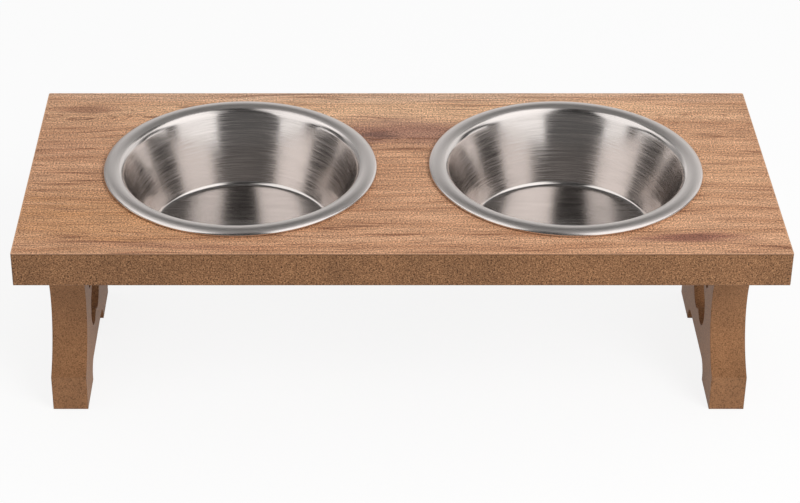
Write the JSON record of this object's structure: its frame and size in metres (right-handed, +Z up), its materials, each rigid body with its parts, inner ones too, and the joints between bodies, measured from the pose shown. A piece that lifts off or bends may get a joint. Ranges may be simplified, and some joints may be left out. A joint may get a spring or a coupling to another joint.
{
  "type": "dog feeder stand",
  "caption": "Low raised pet feeder: wood-decor shelf on cut-out leg panels, with steel bowls that hang by their rims and lift out.",
  "frame": {"origin": "on the floor, under the middle of the shelf", "axes": "+X along the shelf, +Y from the front edge to the back edge, +Z up"},
  "size_m": [0.4, 0.1784, 0.1205],
  "materials": {
    "wood_laminate": "matt wood-decor sheet, grain along the shelf",
    "mdf": "lacquered fibreboard",
    "bowl_steel": "satin stainless",
    "beech": "bare beech",
    "bolt_steel": "zinc plated",
    "cam_zinc": "bare die-cast zinc"
  },
  "bodies": {
    "stand": {"top_board": "mdf", "top_laminate": "wood_laminate", "left_leg": "mdf", "right_leg": "mdf", "left_front_dowel": "beech", "left_rear_dowel": "beech", "right_front_dowel": "beech", "right_rear_dowel": "beech", "left_front_bolt": "bolt_steel", "left_rear_bolt": "bolt_steel", "right_front_bolt": "bolt_steel", "right_rear_bolt": "bolt_steel"},
    "left_bowl": {"left_bowl": "bowl_steel"},
    "right_bowl": {"right_bowl": "bowl_steel"},
    "left_front_cam": {"left_front_cam": "cam_zinc"},
    "left_rear_cam": {"left_rear_cam": "cam_zinc"},
    "right_front_cam": {"right_front_cam": "cam_zinc"},
    "right_rear_cam": {"right_rear_cam": "cam_zinc"}
  },
  "joints": [
    {"name": "left_bowl_lift", "type": "slide", "parent": "stand", "child": "left_bowl", "axis": [0, 0, 1], "range_m": [0, 0.06]},
    {"name": "right_bowl_lift", "type": "slide", "parent": "stand", "child": "right_bowl", "axis": [0, 0, 1], "range_m": [0, 0.06]},
    {"name": "left_front_cam_turn", "type": "hinge", "parent": "stand", "child": "left_front_cam", "pos_m": [-0.1775, -0.032, 0.074], "axis": [1, 0, 0], "range_deg": [0, 180]},
    {"name": "left_rear_cam_turn", "type": "hinge", "parent": "stand", "child": "left_rear_cam", "pos_m": [-0.1775, 0.032, 0.074], "axis": [1, 0, 0], "range_deg": [0, 180]},
    {"name": "right_front_cam_turn", "type": "hinge", "parent": "stand", "child": "right_front_cam", "pos_m": [0.1775, -0.032, 0.074], "axis": [-1, 0, 0], "range_deg": [0, 180]},
    {"name": "right_rear_cam_turn", "type": "hinge", "parent": "stand", "child": "right_rear_cam", "pos_m": [0.1775, 0.032, 0.074], "axis": [-1, 0, 0], "range_deg": [0, 180]}
  ]
}
